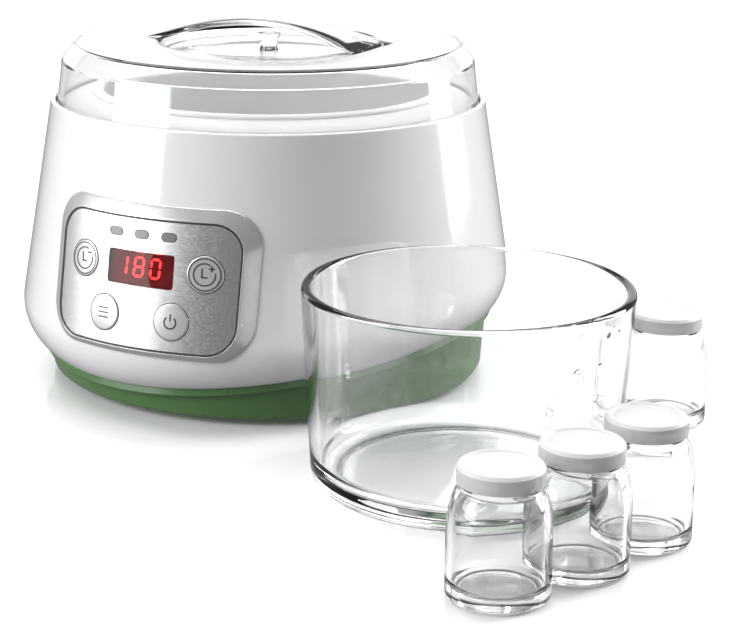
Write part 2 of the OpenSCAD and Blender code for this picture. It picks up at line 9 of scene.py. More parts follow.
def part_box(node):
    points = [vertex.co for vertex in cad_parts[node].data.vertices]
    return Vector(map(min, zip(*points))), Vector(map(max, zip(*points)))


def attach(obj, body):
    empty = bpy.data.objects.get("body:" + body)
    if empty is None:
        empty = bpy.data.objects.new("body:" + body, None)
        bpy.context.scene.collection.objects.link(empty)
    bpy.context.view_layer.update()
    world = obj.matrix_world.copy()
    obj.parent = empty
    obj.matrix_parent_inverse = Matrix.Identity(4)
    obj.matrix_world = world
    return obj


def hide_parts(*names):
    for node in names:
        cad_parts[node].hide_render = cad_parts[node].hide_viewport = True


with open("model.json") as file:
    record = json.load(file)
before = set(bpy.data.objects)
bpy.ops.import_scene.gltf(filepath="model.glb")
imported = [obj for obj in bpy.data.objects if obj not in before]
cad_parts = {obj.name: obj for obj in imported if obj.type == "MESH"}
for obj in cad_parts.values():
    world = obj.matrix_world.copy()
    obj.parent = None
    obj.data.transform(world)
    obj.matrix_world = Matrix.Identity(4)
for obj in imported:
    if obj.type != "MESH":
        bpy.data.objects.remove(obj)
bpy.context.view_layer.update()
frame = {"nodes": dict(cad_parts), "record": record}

# ---------------------------------------------------------------------------
# Dimensions. Shapes are worked out in millimetres and turned into metres where a mesh is made.
# An azimuth is an angle in degrees about +Z that starts at -Y and grows towards +X.
# ---------------------------------------------------------------------------

MM = 0.001
TOLERANCE = 1e-6                            # metres within which points count as one


def node_box(node):
    """Lowest and highest corner of a CAD node, in millimetres."""
    low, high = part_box(node)
    return low / MM, high / MM


def node_centre(node):
    low, high = node_box(node)
    return (low + high) / 2


RIM_Z = 121.8                               # top of the shell's rim
RIM_R = 99.0                                # outer radius there
LIFT = node_box("outer_shell")[1].z - RIM_Z     # the machine's heights count from this far up
FLARE = 0.165                               # growth of the radius per millimetre below the rim
SLOPE = math.degrees(math.atan(FLARE))      # the wall's angle from the vertical
COS_SLOPE = math.cos(math.radians(SLOPE))
SIN_SLOPE = math.sin(math.radians(SLOPE))
CORNER_R = 20.0                             # rounded corner at the shell's bottom
SHELL_T = 2.5
LIP_R = 105.6                               # outer radius of the shell's lower lip
LIP_IN = LIP_R - 1.7
RIM_IN = RIM_R - 2.4
SEAM_LOW, SEAM_HIGH = 9.4, 27.0             # lowest and highest point of the seam over the base
SEAM_TURN, SEAM_SPAN = -18.0, 115.0         # azimuth of the lowest point, and how far the seam climbs
BASE_Z = node_box("bottom_plate")[0].z - LIFT   # underside of the base
DISPLAY_Z = 64.0                            # height of the display's centre
FACE_HW = 43.9                              # half width of the face plate
FACE_Z = (31.0, 85.0)                       # its lowest and highest point
FACE_CORNER = 12.0                          # its rounded corners
FACE_OUT, FACE_IN = 2.6, 1.2                # its front and back, above the shell
FRAME_HW = 50.0                             # half width of the panel's frame
FRAME_Z = (27.6, 91.0)
FRAME_CORNER = 16.0
WALL_NEAR, WALL_FAR = 70.0, 125.0           # distances before the axis that enclose the panel's wall
WINDOW_HW, WINDOW_HH = 16.0, 7.0            # half width and half height of the display lens
WINDOW_CORNER = 1.2
INDICATOR_Z = 78.5
INDICATOR_L, INDICATOR_H = 7.0, 3.6
INDICATOR_X = (-13, 0, 13)
BUTTON_R = 7.8
CAP_OUT = 3.5                               # a button's face, above the shell
LID_TOP = 146.6
LID_TOP_R = 87.4
RECESS_R = 50.0                             # the round recess in the lid's top
RECESS_D = 4.6
LID_T = 2.0
BAR_HL = 54.0                               # half length of the handle bar
BAR_HW = 9.8                                # half width at its middle
BAR_RISE = node_box("lid_handle")[1].z - LIFT - LID_TOP
BAR_T = 3.2


def cone_r(z):
    """Outer radius of the shell's straight wall at height z."""
    return RIM_R + FLARE * (RIM_Z - z)


def seam_z(azimuth):
    away = min(abs((azimuth - SEAM_TURN + 540) % 360 - 180), SEAM_SPAN)
    climb = (1 - math.cos(math.pi * away / SEAM_SPAN)) / 2
    return SEAM_LOW + (SEAM_HIGH - SEAM_LOW) * climb


def around(azimuth, radius, z):
    a = math.radians(azimuth)
    return Vector((radius * math.sin(a), -radius * math.cos(a), z))


def on_cone(x, z, out):
    """The point at x and z on the panel, at a distance over the shell's wall."""
    radius = cone_r(z) + out / COS_SLOPE
    return Vector((x, -math.sqrt(radius * radius - x * x), z))


# The panel's own directions: to the right, up along the wall, and straight out of the middle
PANEL_X = Vector((1, 0, 0))
PANEL_UP = Vector((0, SIN_SLOPE, COS_SLOPE))
PANEL_OUT = Vector((0, -COS_SLOPE, SIN_SLOPE))
PANEL_ZERO = Vector((0, -cone_r(DISPLAY_Z), DISPLAY_Z))


def in_panel(x, up, out):
    """The point at x, up and out in the flat frame at the display's centre."""
    return PANEL_ZERO + PANEL_X * x + PANEL_UP * up + PANEL_OUT * out


def drop_on_cone(x, up, over):
    """As in_panel, at a distance over the curved wall."""
    out = 0.0
    for _ in range(8):
        p = in_panel(x, up, out)
        radius = cone_r(p.z) + over / COS_SLOPE
        out += (p.y + math.sqrt(radius * radius - x * x)) / COS_SLOPE
    return in_panel(x, up, out)


# ---------------------------------------------------------------------------
# Outlines and profiles
# ---------------------------------------------------------------------------


def arc(cx, cy, r, start, end, steps=8):
    """Points of an arc, with angles in degrees from +X."""
    angles = [math.radians(start + (end - start) * k / steps) for k in range(steps + 1)]
    return [(cx + r * math.cos(a), cy + r * math.sin(a)) for a in angles]


def filleted(corners, steps=5):
    """An outline through (x, y) or (x, y, radius) corners, with the given corners rounded."""
    most = 0.48                             # share of a side that one rounding may take
    points = []
    count = len(corners)
    for k, corner in enumerate(corners):
        here = Vector(corner[:2])
        if len(corner) == 2:
            points.append(tuple(here))
            continue
        before = Vector(corners[k - 1][:2]) - here
        after = Vector(corners[(k + 1) % count][:2]) - here
        half = before.angle(after) / 2
        reach = corner[2] / math.tan(half)
        reach = min(reach, before.length * most, after.length * most)
        a = here + before.normalized() * reach
        b = here + after.normalized() * reach
        for s in range(steps + 1):
            t = s / steps
            p = a * (1 - t) ** 2 + here * 2 * t * (1 - t) + b * t * t
            points.append(tuple(p))
    return points


def rounded_outline(half_w, low, high, radius, across=24, side=10, bend=8):
    """Closed outline of a rounded rectangle about x = 0, with points all along its sides."""
    x, r = half_w - radius, radius
    points = []

    def run(start, end, steps):
        points.extend((start[0] + (end[0] - start[0]) * k / steps,
                       start[1] + (end[1] - start[1]) * k / steps) for k in range(steps))

    run((half_w, low + r), (half_w, high - r), side)
    points.extend(arc(x, high - r, r, 0, 90, bend)[:-1])
    run((x, high), (-x, high), across)
    points.extend(arc(-x, high - r, r, 90, 180, bend)[:-1])
    run((-half_w, high - r), (-half_w, low + r), side)
    points.extend(arc(-x, low + r, r, 180, 270, bend)[:-1])
    run((-x, low), (x, low), across)
    points.extend(arc(x, low + r, r, 270, 360, bend)[:-1])
    return points


def scaled(outline, centre, factor):
    return [(centre[0] + (x - centre[0]) * factor, centre[1] + (y - centre[1]) * factor)
            for x, y in outline]


# ---------------------------------------------------------------------------
# Meshes
# ---------------------------------------------------------------------------


SHARP = 35                                  # degrees between faces from which an edge is shaded as one


def make_object(name, points, faces, sharp=SHARP):
    """Smooth-shaded mesh object from points in millimetres, its faces turned outwards."""
    mesh = bpy.data.meshes.new(name)
    mesh.from_pydata([Vector(p) * MM for p in points], [], faces)
    work = bmesh.new()
    work.from_mesh(mesh)
    bmesh.ops.remove_doubles(work, verts=work.verts, dist=2 * TOLERANCE)
    bmesh.ops.dissolve_degenerate(work, edges=work.edges, dist=TOLERANCE)
    loose = [edge for edge in work.edges if not edge.link_faces]
    bmesh.ops.delete(work, geom=loose, context="EDGES")
    bmesh.ops.recalc_face_normals(work, faces=work.faces)
    work.to_mesh(mesh)
    work.free()
    mesh.shade_smooth()
    mesh.set_sharp_from_angle(angle=math.radians(sharp))
    obj = bpy.data.objects.new(name, mesh)
    bpy.context.scene.collection.objects.link(obj)
    return obj


def even_normals(obj):
    """Keeps the flat stretches beside small fillets flat in the shading."""
    weighted = obj.modifiers.new("even_normals", "WEIGHTED_NORMAL")
    weighted.keep_sharp = True
    weighted.weight = 60
    return obj


def rings_object(name, rings, closed=True, capped=False, sharp=SHARP):
    """Skin over rings of points. closed joins the last ring to the first."""
    size = len(rings[0])
    points = [p for ring in rings for p in ring]
    faces = []
    last = len(rings) if closed else len(rings) - 1
    for i in range(last):
        j = (i + 1) % len(rings)
        for k in range(size):
            n = (k + 1) % size
            faces.append((i * size + k, i * size + n, j * size + n, j * size + k))
    if capped:
        faces.append(tuple(range(size)))
        faces.append(tuple(range((len(rings) - 1) * size, len(rings) * size)))
    return even_normals(make_object(name, points, faces, sharp))


def lathe(name, profile, centre=(0, 0), steps=144):
    """Solid of revolution about a vertical axis, from a closed profile of (radius, height)."""
    turns = [2 * math.pi * k / steps for k in range(steps)]
    rings = [[Vector((centre[0] + r * math.sin(t), centre[1] - r * math.cos(t), z))
              for r, z in profile] for t in turns]
    return rings_object(name, rings)


def layered_pad(name, outline, centre, layers, place):
    """Pad whose outline is scaled and raised layer by layer, closed at both ends.

    layers holds (inset, height) pairs from the back to the front, and place(x, y, height) maps them.
    """
    width = max(p[0] for p in outline) - min(p[0] for p in outline)
    rings = []
    for inset, height in layers:
        factor = 1 - 2 * inset / width
        rings.append([place(x, y, height) for x, y in scaled(outline, centre, factor)])
    top, top_h = layers[-1]
    towards_centre = (0.75, 0.5, 0.25, 0.001)
    for share in towards_centre:
        factor = (1 - 2 * top / width) * share
        rings.append([place(x, y, top_h) for x, y in scaled(outline, centre, factor)])
    return rings_object(name, rings, closed=False, capped=True)


def strip(name, path, width, place, low, high, looped=False):
    """Flat printed line of one width that follows a path of 2D points."""
    rings = []
    count = len(path)
    for k, p in enumerate(path):
        before = path[k - 1] if k or looped else p
        after = path[(k + 1) % count] if k < count - 1 or looped else p
        along = Vector((after[0] - before[0], after[1] - before[1])).normalized()
        side = Vector((-along.y, along.x)) * width / 2
        left = (p[0] + side.x, p[1] + side.y)
        right = (p[0] - side.x, p[1] - side.y)
        rings.append([place(*left, low), place(*left, high),
                      place(*right, high), place(*right, low)])
    return rings_object(name, rings, closed=looped, capped=not looped, sharp=30)


def joined(name, objects):
    """One object from several."""
    bpy.ops.object.select_all(action="DESELECT")
    for obj in objects:
        obj.select_set(True)
    bpy.context.view_layer.objects.active = objects[0]
    if len(objects) > 1:
        bpy.ops.object.join()
    objects[0].name = name
    objects[0].data.name = name
    return objects[0]


def cut(obj, cutters):
    """Cuts each cutter out of obj and removes the cutters."""
    for tool in cutters:
        step = obj.modifiers.new("cut", "BOOLEAN")
        step.operation = "DIFFERENCE"
        step.solver = "EXACT"
        step.object = tool
    bpy.context.view_layer.update()
    done = obj.evaluated_get(bpy.context.evaluated_depsgraph_get())
    mesh = bpy.data.meshes.new_from_object(done)
    obj.modifiers.clear()
    obj.data = mesh
    mesh.shade_smooth()
    mesh.set_sharp_from_angle(angle=math.radians(SHARP))
    for tool in cutters:
        bpy.data.objects.remove(tool)
    return even_normals(obj)


def prism_tool(outline, place, low, high):
    """Solid, often a cutter, that sweeps an outline from one height of place() to another."""
    rings = [[place(x, y, h) for x, y in outline] for h in (low, high)]
    return rings_object("tool", rings, closed=False, capped=True)


# ---------------------------------------------------------------------------
# Materials
# ---------------------------------------------------------------------------


NOISE_LOW, NOISE_HIGH = 0.3, 0.7            # noise seldom leaves this range


class Paint:
    """A node material around one Principled shader."""

    def __init__(self, name, **uniform):
        self.material = bpy.data.materials.new(name)
        self.material.use_nodes = True
        self.tree = self.material.node_tree
        self.shader = self.tree.nodes["Principled BSDF"]
        for socket, value in uniform.items():
            self.shader.inputs[socket.replace("_", " ")].default_value = value
        self.coords = self.node("ShaderNodeTexCoord").outputs["Object"]

    def node(self, kind, **values):
        made = self.tree.nodes.new(kind)
        for key, value in values.items():
            setattr(made, key, value)
        return made

    def link(self, source, target):
        self.tree.links.new(source, target)

    def noise(self, size, detail=3.0, stretch=(1, 1, 1)):
        """Noise with features of about size metres, stretched along the axes."""
        mapping = self.node("ShaderNodeMapping")
        mapping.inputs["Scale"].default_value = stretch
        self.link(self.coords, mapping.inputs["Vector"])
        texture = self.node("ShaderNodeTexNoise")
        texture.inputs["Scale"].default_value = 1 / size
        texture.inputs["Detail"].default_value = detail
        self.link(mapping.outputs["Vector"], texture.inputs["Vector"])
        return texture.outputs["Fac"]

    def spread(self, source, low, high):
        """Maps noise to a range of values."""
        mapped = self.node("ShaderNodeMapRange")
        mapped.inputs["From Min"].default_value = NOISE_LOW
        mapped.inputs["From Max"].default_value = NOISE_HIGH
        mapped.inputs["To Min"].default_value = low
        mapped.inputs["To Max"].default_value = high
        self.link(source, mapped.inputs["Value"])
        return mapped.outputs["Result"]

    def tint(self, source, dark, light):
        """Colours the shader between two colours by noise."""
        ramp = self.node("ShaderNodeValToRGB")
        ramp.color_ramp.elements[0].position = NOISE_LOW
        ramp.color_ramp.elements[0].color = (*dark, 1)
        ramp.color_ramp.elements[1].position = NOISE_HIGH
        ramp.color_ramp.elements[1].color = (*light, 1)
        self.link(source, ramp.inputs["Fac"])
        self.link(ramp.outputs["Color"], self.shader.inputs["Base Color"])

    def rough(self, source, low, high):
        self.link(self.spread(source, low, high), self.shader.inputs["Roughness"])

    def relief(self, source, depth, strength=1.0):
        """Surface relief of about depth metres."""
        bump = self.node("ShaderNodeBump")
        bump.inputs["Strength"].default_value = strength
        bump.inputs["Distance"].default_value = depth
        self.link(source, bump.inputs["Height"])
        self.link(bump.outputs["Normal"], self.shader.inputs["Normal"])


def shade(colour, factor):
    return tuple(min(1.0, c * factor) for c in colour)


def moulded(name, colour, rough, grain=0.0008, depth=0.00001, vary=0.03, **uniform):
    """Moulded plastic, rubber or ceramic: slight flow marks in colour and gloss, fine grain."""
    paint = Paint(name, **uniform)
    flow = paint.noise(0.05, 4.0)
    paint.tint(flow, shade(colour, 1 - vary), shade(colour, 1 + vary / 2))
    paint.rough(paint.noise(0.012, 5.0), rough * 0.85, rough * 1.15)
    paint.relief(paint.noise(grain, 2.0), depth)
    return paint.material


def metal(name, colour, rough, stretch=(1, 1, 1), size=0.0006, depth=0.000004):
    """Metal with a grain that is stretched along its brushing."""
    paint = Paint(name, Metallic=1.0)
    grain = paint.noise(size, 3.0, stretch)
    paint.tint(grain, shade(colour, 0.9), shade(colour, 1.05))
    paint.rough(grain, rough * 0.8, rough * 1.2)
    paint.relief(grain, depth)
    return paint.material


def transparent(name, colour, rough, ior, waves=0.0, wave_size=0.03):
    """Clear glass or plastic, with faint smears in its gloss and slow moulding waves."""
    paint = Paint(name, Transmission_Weight=1.0, IOR=ior)
    smear = paint.noise(0.03, 3.0)
    paint.tint(smear, shade(colour, 0.985), colour)
    paint.rough(smear, rough * 0.4, rough)
    if waves:
        paint.relief(paint.noise(wave_size, 1.0), waves, 0.5)
    return paint.material


def glowing(name, colour, strength):
    paint = Paint(name, Emission_Strength=strength)
    paint.shader.inputs["Emission Color"].default_value = (*colour, 1)
    paint.tint(paint.noise(0.002), shade(colour, 0.85), colour)
    paint.rough(paint.noise(0.004), 0.3, 0.5)
    return paint.material


def circuit(name):
    """Green solder mask over faint copper tracks."""
    paint = Paint(name, Coat_Weight=0.4)
    tracks = paint.node("ShaderNodeTexBrick")
    settings = {"Scale": 160.0, "Mortar Size": 0.03, "Color1": (0.02, 0.16, 0.06, 1),
                "Color2": (0.025, 0.2, 0.08, 1), "Mortar": (0.05, 0.3, 0.12, 1)}
    for socket, value in settings.items():
        tracks.inputs[socket].default_value = value
    paint.link(paint.coords, tracks.inputs["Vector"])
    paint.link(tracks.outputs["Color"], paint.shader.inputs["Base Color"])
    paint.rough(paint.noise(0.004), 0.3, 0.45)
    paint.relief(tracks.outputs["Fac"], 0.00003)
    return paint.material


def display_glow(name, half_width):
    """Red glow of the lit part of the display, which fades towards its edges."""
    red = (0.5, 0.012, 0.02)
    paint = Paint(name, Emission_Strength=0.16)
    split = paint.node("ShaderNodeSeparateXYZ")
    paint.link(paint.coords, split.inputs["Vector"])
    ramp = paint.node("ShaderNodeValToRGB")
    across = paint.node("ShaderNodeMapRange")
    across.inputs["From Min"].default_value = -half_width
    across.inputs["From Max"].default_value = half_width
    paint.link(split.outputs["X"], across.inputs["Value"])
    paint.link(across.outputs["Result"], ramp.inputs["Fac"])
    stops = [(0.0, 0.1), (0.05, 0.75), (0.3, 1.0), (0.72, 0.7), (0.84, 0.45), (0.87, 0.02)]
    while len(ramp.color_ramp.elements) < len(stops):
        ramp.color_ramp.elements.new(0.5)
    for element, (place, power) in zip(ramp.color_ramp.elements, stops):
        element.position = place
        element.color = (*shade(red, power), 1)
    paint.link(ramp.outputs["Color"], paint.shader.inputs["Emission Color"])
    paint.tint(paint.noise(0.003), (0.03, 0.004, 0.004), (0.05, 0.006, 0.006))
    paint.rough(paint.noise(0.004), 0.35, 0.5)
    return paint.material


WHITE = (0.84, 0.842, 0.85)
GREEN = (0.08, 0.175, 0.06)
BRUSHING = (0.03, 1, 1)                     # stretches the grain along the panel

PAINTS = {
    "white_shell": moulded("white_shell", WHITE, 0.13, depth=0.000003, vary=0.008,
                           Coat_Weight=1.0, Coat_Roughness=0.04, Coat_IOR=1.6),
    "white_inner": moulded("white_inner", (0.86, 0.865, 0.865), 0.35, vary=0.012),
    "warm_aluminium": metal("warm_aluminium", (0.72, 0.72, 0.73), 0.42),
    "mica": moulded("mica", (0.3, 0.25, 0.17), 0.55, grain=0.003, depth=0.00004, vary=0.25),
    "steel": metal("steel", (0.56, 0.57, 0.58), 0.32),
    "sensor_metal": metal("sensor_metal", (0.7, 0.7, 0.68), 0.3),
    "ceramic": moulded("ceramic", (0.7, 0.67, 0.58), 0.3, vary=0.06),
    "silver_frame": moulded("silver_frame", (0.66, 0.665, 0.67), 0.26, grain=0.0003, vary=0.02,
                            Metallic=0.55, Coat_Weight=0.6, Coat_Roughness=0.1),
    "brushed_face": metal("brushed_face", (0.6, 0.605, 0.615), 0.36, BRUSHING, 0.0004, 0.000003),
    "display_lens": transparent("display_lens", (0.55, 0.1, 0.1), 0.03, 1.25),
    "black_plastic": moulded("black_plastic", (0.018, 0.018, 0.02), 0.42, grain=0.0006, vary=0.1),
    "led_red": glowing("led_red", (1.0, 0.2, 0.18), 5.0),
    "indicator_grey": moulded("indicator_grey", (0.2, 0.2, 0.21), 0.25, vary=0.05),
    "button_silver": moulded("button_silver", (0.62, 0.625, 0.64), 0.3, grain=0.0003, vary=0.02,
                             Metallic=0.5, Coat_Weight=0.4, Coat_Roughness=0.15),
    "circuit_board": circuit("circuit_board"),
    "green_base": moulded("green_base", GREEN, 0.3, grain=0.0005, depth=0.000006, vary=0.04,
                          Coat_Weight=0.3, Coat_Roughness=0.2),
    "green_under": moulded("green_under", shade(GREEN, 0.85), 0.5, grain=0.0007, vary=0.06),
    "rubber_foot": moulded("rubber_foot", (0.03, 0.03, 0.032), 0.75, grain=0.0005, vary=0.15),
    "transformer_core": moulded("transformer_core", (0.55, 0.4, 0.09), 0.45, vary=0.15),
    "relay_blue": moulded("relay_blue", (0.02, 0.08, 0.25), 0.35, vary=0.06),
    "capacitor_blue": moulded("capacitor_blue", (0.03, 0.045, 0.13), 0.3, vary=0.08),
    "terminal_green": moulded("terminal_green", (0.03, 0.2, 0.07), 0.4, vary=0.06),
    "red_lead": moulded("red_lead", (0.45, 0.02, 0.015), 0.45, vary=0.1),
    "ribbon_grey": moulded("ribbon_grey", (0.45, 0.45, 0.45), 0.5, vary=0.08),
    "clear_plastic": transparent("clear_plastic", (0.915, 0.92, 0.925), 0.05, 1.52, 0.0002, 0.05),
    "bowl_glass": transparent("bowl_glass", (0.97, 0.98, 0.975), 0.01, 1.5, 0.0004, 0.04),
    # The jar glass's grey tint is painted reflection: it darkens the jars as the dark surroundings
    # mirrored in them would
    "jar_glass": transparent("jar_glass", (0.9, 0.905, 0.905), 0.015, 1.5, 0.0006, 0.015),
    "milky_cap": moulded("milky_cap", (0.85, 0.855, 0.86), 0.42, grain=0.0005, vary=0.02,
                         Transmission_Weight=0.5),
}
# Materials of pieces that the CAD model doesn't have
EXTRA = {
    # This dark material is the icons' print and also the painted shade in the gap around the face plate
    "print_and_gap_shade": moulded("print_and_gap_shade", (0.03, 0.03, 0.034), 0.55, vary=0.05),
    "display_glow": display_glow("display_glow", WINDOW_HW * MM),
    "water": transparent("water", (0.99, 0.995, 1.0), 0.01, 1.33),
}


# Bodies whose heights count from LIFT. The bowl's and the jars' count from the table.
RAISED = ("machine", "lid", "button_minus", "button_plus", "button_function", "button_power")


def dress(obj, slot, body, *nodes, paint=None):
    """Gives a piece its material (its slot's, or the given paint), raises it by LIFT if its body is
    raised, hangs it on its body and hides the CAD nodes that it replaces.
    """
    obj.data.materials.clear()
    obj.data.materials.append(paint or PAINTS[slot])
    if body in RAISED:
        obj.data.transform(Matrix.Translation((0, 0, LIFT * MM)))
    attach(obj, body)
    if nodes:
        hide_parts(*nodes)
    return obj


# ---------------------------------------------------------------------------
# Shell, deck and base
# ---------------------------------------------------------------------------


def corner_centre(azimuth):
    """Centre of the bottom corner's arc, so that it meets the wall smoothly and ends at the lip."""
    seam = seam_z(azimuth)
    inside = LIP_R - cone_r(seam) + CORNER_R / COS_SLOPE
    q = 1 + FLARE * FLARE
    root = math.sqrt((FLARE * inside) ** 2 - q * (inside ** 2 - CORNER_R ** 2))
    up = (root - FLARE * inside) / q
    return cone_r(seam + up) - CORNER_R / COS_SLOPE, seam + up


def shell_section(azimuth):
    cx, cz = corner_centre(azimuth)
    seam = seam_z(azimuth)
    inner_r = CORNER_R - SHELL_T
    rim_r = 1.2                             # rounding of the rim
    step_z = RIM_Z - 4.6                    # the rim's step on the inside
    wall_heights = (70, 90, 105, 115)
    lip_turn = -math.degrees(math.acos((LIP_R - cx) / CORNER_R))
    inner_turn = -math.degrees(math.acos((LIP_IN - cx) / inner_r))
    points = arc(cx, cz, CORNER_R, lip_turn, SLOPE, 20)
    points += [(cone_r(z), z) for z in wall_heights]
    points += arc(cone_r(RIM_Z - rim_r) - rim_r, RIM_Z - rim_r, rim_r, SLOPE, 180, 8)
    points += [(RIM_IN, step_z + 0.8), (cone_r(step_z) - SHELL_T / COS_SLOPE, step_z)]
    points += arc(cx, cz, inner_r, SLOPE, inner_turn, 8)
    chamfer = 0.3
    points += [(LIP_IN, seam + chamfer), (LIP_IN + chamfer, seam)]
    return points


def skirt_section(azimuth):
    seam = seam_z(azimuth)
    ledge = BASE_Z + 2.2                    # top of the bottom plate
    return filleted([
        (98.2, BASE_Z), (99.6, BASE_Z, 0.5), (100.8, BASE_Z + 1.2, 0.5), (102.3, seam - 3.9, 0.3),
        (104.6, seam - 3.6, 0.4), (105, seam - 3.0, 0.4), (104.5, seam - 0.3, 0.3),
        (103.5, seam - 0.3), (103.5, seam + 5, 0.3), (101.5, seam + 5, 0.3), (100, ledge + 2),
        (92, ledge + 2), (92, ledge), (98.2, ledge)], 4)


def swept(name, section, step=1.5):
    turns = [k * step for k in range(int(360 / step))]
    return rings_object(name, [[around(a, r, z) for r, z in section(a)] for a in turns])


def front(x, z, y):
    """Places a prism's outline in X and Z at a distance in front of the axis."""
    return Vector((x, -y, z))


def build_body():
    shell = swept("shell", shell_section)
    inset = 3.5                             # from the panel frame's edge to the opening behind it
    opening = rounded_outline(FRAME_HW - inset, FRAME_Z[0] + inset, FRAME_Z[1] - inset,
                              FRAME_CORNER - inset)
    behind_wall = 75                        # distance before the axis where the cutter starts
    cut(shell, [prism_tool(opening, front, behind_wall, WALL_FAR)])
    dress(shell, "white_shell", "machine", "outer_shell")

    seat = node_box("top_ring")[1].z - LIFT
    groove = 120.0
    deck = lathe("deck", filleted([
        (96.3, 117.4, 0.3), (96.3, groove, 0.3), (93.2, groove, 0.5), (92.2, groove + 1.2, 0.8),
        (81.8, seat - 0.1, 0.8), (81.2, seat, 0.3), (77.4, seat), (77.4, 116, 0.4), (79.6, 116, 0.4),
        (79.6, seat - 2.2), (91, groove - 1.4), (94.2, groove - 2.2), (94.2, 117.4, 0.3)]))
    dress(deck, "white_inner", "machine", "top_ring")

    skirt = swept("skirt", skirt_section)
    inlet_low, inlet_high = node_box("mains_inlet")
    gap = 0.2                               # around the mains inlet
    low, high = inlet_low.z - LIFT - gap, inlet_high.z - LIFT + gap
    wide = inlet_high.x + gap
    window = [(-wide, low), (wide, low), (wide, high), (-wide, high)]
    back_near, back_far = -90, -110         # distances before the axis, so behind it
    cut(skirt, [prism_tool(window, front, back_near, back_far)])
    dress(skirt, "green_base", "machine", "base_skirt")


# ---------------------------------------------------------------------------
# Control panel
# ---------------------------------------------------------------------------


def lerp(a, b, share):
    return a + (b - a) * share


def panel_ring(half_w, span, radius, grow, out):
    """Ring on the panel's wall: a rounded rectangle grown outwards by grow, at out over the wall."""
    outline = rounded_outline(half_w + grow, span[0] - grow, span[1] + grow, radius + grow, 36, 16, 14)
    return [on_cone(x, z, out) for x, z in outline]


def face_ring(grow, out):
    return panel_ring(FACE_HW, FACE_Z, FACE_CORNER, grow, out)


def bezel_ring(share, out):
    """Ring of the panel's frame between its outer outline (0) and the plate's pocket (1)."""
    gap = 0.45
    span = (lerp(FRAME_Z[0], FACE_Z[0] - gap, share), lerp(FRAME_Z[1], FACE_Z[1] + gap, share))
    return panel_ring(lerp(FRAME_HW, FACE_HW + gap, share), span,
                      lerp(FRAME_CORNER, FACE_CORNER + gap, share), 0, out)


# The frame's rise from its outer edge to the pocket: share of its width, height over the wall
BEZEL_RISE = [
    (0.0, 0.06), (0.0, 0.45), (0.04, 0.8), (0.1, 1.05), (0.3, 1.6), (0.55, 2.25), (0.74, 2.75),
    (0.84, 3.0), (0.9, 3.15), (0.95, 3.15), (0.985, 3.0), (1.0, 2.75), (1.0, FACE_IN)]


def build_bezel():
    rings = [bezel_ring(share, out) for share, out in BEZEL_RISE]
    ledge = 2.4                             # width of the step that the face plate lies on
    tongue = 3.9                            # from the frame's edge to its tongue in the shell
    tongue_back = -3
    rings += [face_ring(-ledge, FACE_IN), face_ring(-ledge, tongue_back)]
    rings += [panel_ring(FRAME_HW, FRAME_Z, FRAME_CORNER, -tongue, out)
              for out in (tongue_back, BEZEL_RISE[0][1])]
    bezel = rings_object("bezel", rings, closed=True)
    post = filleted([(1.25, -16), (3, -16, 0.3), (3, -9), (1.25, -9)], 3)
    posts = [flat_lathe("post", post, x, up) for x in (-38.5, 38.5) for up in (-26, 16)]
    dress(joined("bezel", [bezel, *posts]), "silver_frame", "machine", "panel_bezel")

    # A thin dark ring in the gap between the frame and the face plate is painted shade, standing where
    # the gap's shadow falls
    outside, inside = 0.4, -0.35
    gap_shade_top = FACE_OUT + 0.12
    gap_shade = rings_object("panel_gap_shade", [
        face_ring(outside, gap_shade_top), face_ring(inside, gap_shade_top),
        face_ring(inside, FACE_OUT), face_ring(outside, FACE_OUT)])
    dress(gap_shade, "silver_frame", "machine", paint=EXTRA["print_and_gap_shade"])


def flat_lathe(name, profile, x, up, steps=32):
    """Solid of revolution about the panel's outward direction, from (radius, height) points."""
    rings = []
    for k in range(steps):
        t = 2 * math.pi * k / steps
        rings.append([in_panel(x + r * math.cos(t), up + r * math.sin(t), h) for r, h in profile])
    return rings_object(name, rings)


BUTTONS = {
    "button_minus": (-15.9, 64.0),
    "button_plus": (15.9, 64.0),
    "button_function": (-8.5, 43.3),
    "button_power": (8.5, 43.3),
}


def button_spot(name):
    """A button's centre as x and up in the panel's flat frame."""
    azimuth, z = BUTTONS[name]
    p = around(azimuth, cone_r(z), z) - PANEL_ZERO
    return p.dot(PANEL_X), p.dot(PANEL_UP)


def pill_outline(centre_x, centre_z, length, height):
    r = height / 2
    ends = length / 2 - r
    return ([(centre_x + x, centre_z + z) for x, z in arc(ends, 0, r, -90, 90, 10)]
            + [(centre_x + x, centre_z + z) for x, z in arc(-ends, 0, r, 90, 270, 10)])


def circle(x, y, r, steps=64):
    return arc(x, y, r, 0, 360, steps)[:-1]


